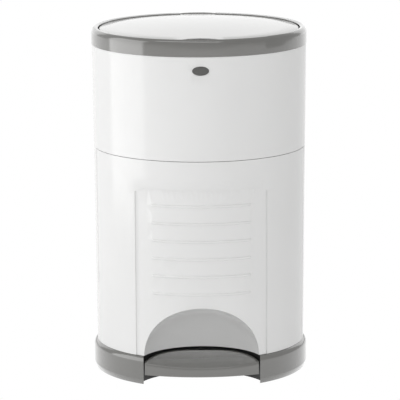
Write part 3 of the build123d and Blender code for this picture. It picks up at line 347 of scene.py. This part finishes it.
BODY_PITCH_R = 0.1686
BODY_SCREW = {"head_r": 0.0028, "head_h": 0.0016, "shank_r": 0.0014}
screw_set(
    "base_screws", "floor_screws", "frame",
    angles=(55, 95, 145, 215, 258, 305), pitch_r=BODY_PITCH_R, z=0.042, shank_l=0.0054, up=1.0,
    **BODY_SCREW,
)
screw_set(
    "shell_screws", "waist_screws", "frame",
    angles=(105, 150, 210, 255), pitch_r=BODY_PITCH_R, z=0.3828, shank_l=0.0066, up=-1.0,
    **BODY_SCREW,
)
screw_set(
    "collar_screws", "deck_screws", "collar",
    angles=(30, 90, 150, 210, 270, 330), pitch_r=0.1725, z=0.5495, shank_l=0.012, up=1.0,
    head_r=0.0027, head_h=0.0018, shank_r=0.00158,
)


# ---- Base ring ------------------------------------------------------------------------------
# Warm grey ring round the foot, injection moulded in ABS with a satin gloss. Its bevelled foot and
# round shoulder are one section turned right round, cut square at the front for the pedal.
def satin_abs(name, dark, light, roughness):
    """Satin ABS: slow clouding, fine mould grain in the bump and a thin clear top coat."""
    sheet = Sheet(name)
    cloud = sheet.noise(7.0, 3.0)
    grain = sheet.noise(1400.0, 2.0)
    drift = sheet.noise(30.0, 2.0)
    return sheet.surface(
        Base_Color=sheet.tint(cloud.between(0.3, 0.7), dark, light),
        Roughness=drift * 0.06 + (roughness - 0.03),
        Coat_Weight=1.0,
        Coat_Roughness=0.1,
        Coat_IOR=1.8,
        Normal=sheet.bump(grain, 0.00002),
    )


def sheeted(name, rows, closed, caps=()):
    """A smooth mesh through rows of points; closed joins the last row to the first."""
    count = len(rows[0])
    points = [p for row in rows for p in row]
    faces = []
    last = len(rows) if closed else len(rows) - 1
    for i in range(last):
        low, high = i * count, (i + 1) % len(rows) * count
        faces += [(low + j, high + j, high + (j + 1) % count, low + (j + 1) % count) for j in range(count)]
    faces += caps
    mesh = bpy.data.meshes.new(name)
    mesh.from_pydata(points, [], faces)
    bm = bmesh.new()
    bm.from_mesh(mesh)
    bmesh.ops.recalc_face_normals(bm, faces=bm.faces)
    bm.to_mesh(mesh)
    bm.free()
    piece = bpy.data.objects.new(name, mesh)
    bpy.context.collection.objects.link(piece)
    return piece


def arc(start, end, bulge_at, steps=8):
    """Points of the circle through start, bulge_at and end, without the first."""
    (ax, ay), (bx, by), (cx, cy) = start, bulge_at, end
    d = 2 * (ax * (by - cy) + bx * (cy - ay) + cx * (ay - by))
    ux = ((ax**2 + ay**2) * (by - cy) + (bx**2 + by**2) * (cy - ay) + (cx**2 + cy**2) * (ay - by)) / d
    uy = ((ax**2 + ay**2) * (cx - bx) + (bx**2 + by**2) * (ax - cx) + (cx**2 + cy**2) * (bx - ax)) / d
    first = math.atan2(ay - uy, ax - ux)
    turn = math.atan2(cy - uy, cx - ux) - first
    middle = math.atan2(by - uy, bx - ux) - first
    if turn < 0:
        turn += math.tau
        middle %= math.tau
    if middle % math.tau > turn:
        turn -= math.tau
    r = math.hypot(ax - ux, ay - uy)
    return [
        (ux + r * math.cos(first + turn * i / steps), uy + r * math.sin(first + turn * i / steps))
        for i in range(1, steps + 1)
    ]


def round_about(angle, radius):
    """Plan point at an angle in radians from the front, positive towards +X."""
    return radius * math.sin(angle), -radius * math.cos(angle)


grey_plastic = satin_abs("grey_plastic", (0.135, 0.133, 0.124), (0.148, 0.146, 0.137), 0.16)
# The ring's section in millimetres, radius and height, up the outside and down the inside
BAY_HALF = 96.5
RING_R = 180.0
RING_WALL = 3.0
BEVEL_Z = 11.0
SHOULDER_Z = 39.0
SHOULDER_BULGE = (177.9, 45.0)
RING_TOP = 48.0
TOP_OUTER_R = 174.6
TOP_INNER_R = 166.0
FLANGE_FOOT = 45.0
FOOT_Z = 1.0
RING_STEPS = 320
ring_section = [(173.7, FOOT_Z + 0.2), (174.0, FOOT_Z), (176.0, FOOT_Z), (176.5, FOOT_Z + 0.4)]
ring_section += [(RING_R - 0.3, BEVEL_Z - 1.6)]
ring_section += arc((RING_R - 0.3, BEVEL_Z - 1.6), (RING_R, BEVEL_Z), (RING_R - 0.07, BEVEL_Z - 0.9), 4)
ring_section += [(RING_R, SHOULDER_Z)]
ring_section += arc((RING_R, SHOULDER_Z), (TOP_OUTER_R, RING_TOP - 0.3), SHOULDER_BULGE, 14)
ring_section += [(TOP_OUTER_R - 0.3, RING_TOP), (TOP_INNER_R + 0.2, RING_TOP)]
ring_section += [(TOP_INNER_R, RING_TOP - 0.2), (TOP_INNER_R, FLANGE_FOOT + 0.2)]
ring_section += [(TOP_INNER_R + 0.2, FLANGE_FOOT), (174.0, FLANGE_FOOT)]
ring_section += [(RING_R - RING_WALL, SHOULDER_Z), (RING_R - RING_WALL, BEVEL_Z)]
ring_rows = []
for i in range(RING_STEPS + 1):
    row = []
    for r, z in ring_section:
        edge = math.asin(BAY_HALF / r)
        angle = edge + (math.tau - 2 * edge) * i / RING_STEPS
        row.append((*round_about(angle, r * MM), z * MM))
    ring_rows.append(row)
width = len(ring_section)
ring_ends = [tuple(range(width)), tuple(RING_STEPS * width + i for i in range(width))]
base_ring = smooth(sheeted("base_ring_skin", ring_rows, False, ring_ends), 35.0)
fit_to(base_ring, "frame", "grey_plastic", grey_plastic, "base_ring")


# ---- Pedal ----------------------------------------------------------------------------------
# Lens-shaped grey ABS plate, moulded hollow, with two lever arms that run back under the floor on a
# steel axle. Two coil springs of drawn wire on the axle bring it back up.
pedal = finished_copy("foot_pedal", "pedal_lever", 0.0005)
fit_to(pedal, "pedal", "grey_plastic", grey_plastic, "foot_pedal")

pin_steel = metal("pin_steel", (0.45, 0.45, 0.45), (0.58, 0.58, 0.58), 0.25, 250.0, (0.05, 1, 1))
spring_steel = metal("spring_steel", (0.3, 0.3, 0.3), (0.45, 0.45, 0.45), 0.3, 300.0, (1, 1, 1))
axle = finished_copy("pedal_axle", "axle", 0.0)
fit_to(axle, "frame", "pin_steel", pin_steel, "pedal_axle")
pedal_coils = finished_copy("pedal_springs", "pedal_coils", 0.0, 60.0)
fit_to(pedal_coils, "frame", "spring_steel", spring_steel, "pedal_springs")


# ---- Push rod -------------------------------------------------------------------------------
# Straight drawn steel rod with rounded ends that carries the pedal's movement up to the lid. It
# slides in an upright polypropylene channel with three eyes, fixed inside the back wall.
inner_plastic = moulded_plastic(
    "inner_plastic", (0.62, 0.62, 0.6), (0.68, 0.68, 0.66), 0.38, 700.0, 0.00006
)
rod = finished_copy("push_rod", "rod", 0.0, 50.0)
fit_to(rod, "rod", "pin_steel", pin_steel, "push_rod")
channel = finished_copy("rod_guide", "rod_channel", 0.0003)
fit_to(channel, "frame", "inner_plastic", inner_plastic, "rod_guide")


# ---- Lower shell ----------------------------------------------------------------------------
# White high-gloss polypropylene wall behind the door, moulded with a slight draft. It stands on the
# ring's flange and is screwed to the upper shell at the waist.
def gloss_plastic(name, dark, light, roughness):
    """Glossy white moulding: slow clouding, a slight waviness of the skin and fine scuffs."""
    sheet = Sheet(name)
    cloud = sheet.noise(5.0, 3.0)
    scuff = sheet.noise(90.0, 5.0)
    sink = sheet.noise(16.0, 1.0)
    return sheet.surface(
        Base_Color=sheet.tint(cloud.between(0.3, 0.7), dark, light),
        Roughness=scuff.between(0.45, 0.8) * 0.05 + roughness,
        Normal=sheet.bump(sink, 0.0001),
    )


white_plastic = gloss_plastic("white_plastic", (0.8, 0.8, 0.795), (0.82, 0.82, 0.815), 0.15)
rear_shell = finished_copy("lower_shell", "rear_shell", 0.0003)
fit_to(rear_shell, "frame", "white_plastic", white_plastic, "lower_shell")


# ---- Front door -----------------------------------------------------------------------------
# White high-gloss front of the lower body, with the shallow ribbed panel and the arched scoop over
# the pedal. It is moulded in one with the stile that it swings on.
door = finished_copy("front_door", "door", 0.0003)
fit_to(door, "door", "white_plastic", white_plastic, "front_door")
door_pins = finished_copy("door_hinge_pins", "door_pins", 0.0002)
fit_to(door_pins, "frame", "pin_steel", pin_steel, "door_hinge_pins")
catch = finished_copy("door_latch", "door_catch", 0.0003)
fit_to(catch, "door", "inner_plastic", inner_plastic, "door_latch")


# ---- Cutter ---------------------------------------------------------------------------------
# Grey polypropylene holder on the inside of the door with a ground steel blade set across its slot,
# for parting a full bag from the refill.
cutter_plastic = moulded_plastic(
    "cutter_plastic", (0.2, 0.2, 0.19), (0.24, 0.24, 0.22), 0.4, 700.0, 0.00006
)
blade_steel = metal("blade_steel", (0.55, 0.55, 0.56), (0.68, 0.68, 0.69), 0.2, 500.0, (1, 1, 0.05))
cutter = finished_copy("cutter_body", "cutter_holder", 0.0004)
fit_to(cutter, "door", "cutter_plastic", cutter_plastic, "cutter_body")
blade = finished_copy("cutter_blade", "blade", 0.0)
fit_to(blade, "door", "blade_steel", blade_steel, "cutter_blade")


# ---- Refill tray ----------------------------------------------------------------------------
# Ring-shaped polypropylene tray that stands on the waist flange: the refill sits on its floor and
# the film runs over the round top of its neck.
tray = finished_copy("liner_holder", "refill_tray", 0.0003)
fit_to(tray, "frame", "inner_plastic", inner_plastic, "liner_holder")


# ---- Upper shell ----------------------------------------------------------------------------
# White high-gloss polypropylene wall, one piece all round, with the oval sleeve of the button, the
# ledge for the collar's hook and the neck of the collar's hinge moulded in.
upper_shell = finished_copy("upper_shell", "body_shell", 0.0003)
fit_to(upper_shell, "frame", "white_plastic", white_plastic, "upper_shell")
collar_pin = finished_copy("collar_hinge_pin", "collar_pin", 0.0002)
fit_to(collar_pin, "frame", "pin_steel", pin_steel, "collar_hinge_pin")


# ---- Button ---------------------------------------------------------------------------------
# Oval push button of matt grey ABS with softened edges, pressed back against a coil spring in its
# sleeve.
button_plastic = moulded_plastic(
    "button_plastic", (0.09, 0.09, 0.085), (0.11, 0.11, 0.105), 0.35, 900.0, 0.00004
)
button = finished_copy("release_button", "button_cap", 0.0)
fit_to(button, "button", "button_plastic", button_plastic, "release_button")
button_coil = finished_copy("button_spring", "button_coil", 0.0, 60.0)
fit_to(button_coil, "frame", "spring_steel", spring_steel, "button_spring")


# ---- Deck and traps -------------------------------------------------------------------------
# Polypropylene deck screwed under the collar ring, with the drop opening, the seal's seat and the
# lugs of the hinges. Two flaps on steel pins close the opening, each with two small springs.
deck = finished_copy("inner_deck", "deck", 0.0003)
fit_to(deck, "collar", "inner_plastic", inner_plastic, "inner_deck")
for side in ("left", "right"):
    leaf = finished_copy("trap_flap_" + side, "leaf_" + side, 0.0003)
    fit_to(leaf, "flap_" + side, "inner_plastic", inner_plastic, "trap_flap_" + side)
flap_pins = finished_copy("trap_pins", "flap_pins", 0.0002)
fit_to(flap_pins, "collar", "pin_steel", pin_steel, "trap_pins")
flap_coils = finished_copy("trap_springs", "flap_coils", 0.0, 60.0)
fit_to(flap_coils, "collar", "spring_steel", spring_steel, "trap_springs")
hook = finished_copy("collar_latch", "collar_hook", 0.0002)
fit_to(hook, "collar", "inner_plastic", inner_plastic, "collar_latch")


# ---- Collar ring ----------------------------------------------------------------------------
# Warm grey satin ABS ring round the top, one round-shouldered section turned right round, with the
# knuckles of its own hinge at the back.
collar = finished_copy("collar_ring", "collar", 0.0002)
fit_to(collar, "collar", "grey_plastic", grey_plastic, "collar_ring")


# ---- Lid ------------------------------------------------------------------------------------
# White high-gloss domed disc with a skirt and the finger recess at the front, turning on a steel
# pin. A soft thermoplastic ring under it closes on the deck's seat.
lid_plastic = gloss_plastic("lid_plastic", (0.82, 0.82, 0.81), (0.85, 0.85, 0.84), 0.12)
lid = finished_copy("lid", "lid_disc", 0.0002)
fit_to(lid, "lid", "lid_plastic", lid_plastic, "lid")
lid_pin = finished_copy("lid_hinge_pin", "lid_pin", 0.0002)
fit_to(lid_pin, "collar", "pin_steel", pin_steel, "lid_hinge_pin")
seal_rubber = dull_rubber("seal_rubber", (0.14, 0.14, 0.135), (0.2, 0.2, 0.19), 0.6)
seal = finished_copy("lid_seal", "seal", 0.0004)
fit_to(seal, "lid", "seal_rubber", seal_rubber, "lid_seal")


# ---- Studio ---------------------------------------------------------------------------------
# Plain white floor, a tall softbox on the left, a strip above, a wide panel behind, a low fill in
# front and a pale surround. The background is white to the camera, whatever the light.
floor_sheet = Sheet("floor_white")
floor_sheet.surface(
    Base_Color=floor_sheet.tint(floor_sheet.noise(3.0), (0.93, 0.93, 0.93), (0.95, 0.95, 0.95)), Roughness=0.8
)


def white_to_camera(sheet):
    """Mixes in a plain white that only the camera and reflections see, so the background stays white."""
    seen = sheet.add("LightPath", output="Is Camera Ray") + sheet.add("LightPath", output="Is Glossy Ray")
    glow = sheet.add("Emission", None, (1, 1, 1, 1), 1.0)
    mix = sheet.add("MixShader", None, seen, Value(sheet, sheet.shader.outputs[0]), glow)
    sheet.tree.links.new(mix.socket, sheet.tree.nodes["Material Output"].inputs["Surface"])
    return sheet.material


floor_mesh = bpy.data.meshes.new("floor")
HALF = 9.0
floor_corners = [(-HALF, -HALF, 0), (HALF, -HALF, 0), (HALF, HALF, 0), (-HALF, HALF, 0)]
floor_mesh.from_pydata(floor_corners, [], [(0, 1, 2, 3)])
floor = bpy.data.objects.new("floor", floor_mesh)
bpy.context.collection.objects.link(floor)
paint(floor, white_to_camera(floor_sheet))


def softbox(name, place, aim, width, height, power):
    """A white rectangular lamp at a place, turned to face its aim; metres and watts."""
    light = bpy.data.lights.new(name, "AREA")
    light.shape = "RECTANGLE"
    light.size, light.size_y = width, height
    light.energy = power
    lamp = bpy.data.objects.new(name, light)
    lamp.location = place
    lamp.rotation_euler = (Vector(aim) - Vector(place)).to_track_quat("-Z", "Y").to_euler()
    bpy.context.collection.objects.link(lamp)
    return lamp


softbox("left_box", (-1.5, -0.2, 0.75), (0, 0, 0.75), 1.3, 1.9, 11.0)
softbox("back_panel", (0, 2.6, 1.3), (0, 0, 0.9), 5.0, 1.9, 18.0)
softbox("top_strip", (-0.3, -1.0, 2.6), (0, 0, 0.4), 2.2, 0.4, 6.0)
front_low = softbox("front_low", (0.1, -2.5, 0.2), (0, 0, 0.2), 2.6, 0.36, 13.0)
front_low.visible_glossy = False  # fills the scoop without a bright patch on the rings

world = bpy.data.worlds.new("studio")
bpy.context.scene.world = world
world.use_nodes = True
nodes, links = world.node_tree.nodes, world.node_tree.links
seen = nodes.new("ShaderNodeLightPath")
surround = nodes["Background"]
surround.inputs["Color"].default_value = (1, 1, 1, 1)
surround.inputs["Strength"].default_value = 0.55
white = nodes.new("ShaderNodeBackground")
white.inputs["Color"].default_value = (1, 1, 1, 1)
pick = nodes.new("ShaderNodeMixShader")
links.new(seen.outputs["Is Camera Ray"], pick.inputs[0])
links.new(surround.outputs[0], pick.inputs[1])
links.new(white.outputs[0], pick.inputs[2])
links.new(pick.outputs[0], nodes["World Output"].inputs["Surface"])

camera_data = bpy.data.cameras.new("camera")
camera_data.lens = 260.7
camera_data.sensor_width = 36.0
camera_data.shift_x = 0.000675
camera_data.clip_end = 40.0
camera = bpy.data.objects.new("camera", camera_data)
bpy.context.collection.objects.link(camera)
CAMERA_DISTANCE = 4.804
CAMERA_HEIGHT = 1.212
SWING = math.radians(-0.8)
DOWN = math.radians(10.95)
ROLL = math.radians(-0.3)
camera.location = (CAMERA_DISTANCE * math.sin(SWING), -CAMERA_DISTANCE * math.cos(SWING), CAMERA_HEIGHT)
look = Euler((math.pi / 2 - DOWN, 0, SWING)).to_matrix() @ Euler((0, 0, ROLL)).to_matrix()
camera.rotation_euler = look.to_euler()
bpy.context.scene.camera = camera
bpy.context.scene.view_settings.view_transform = "Standard"
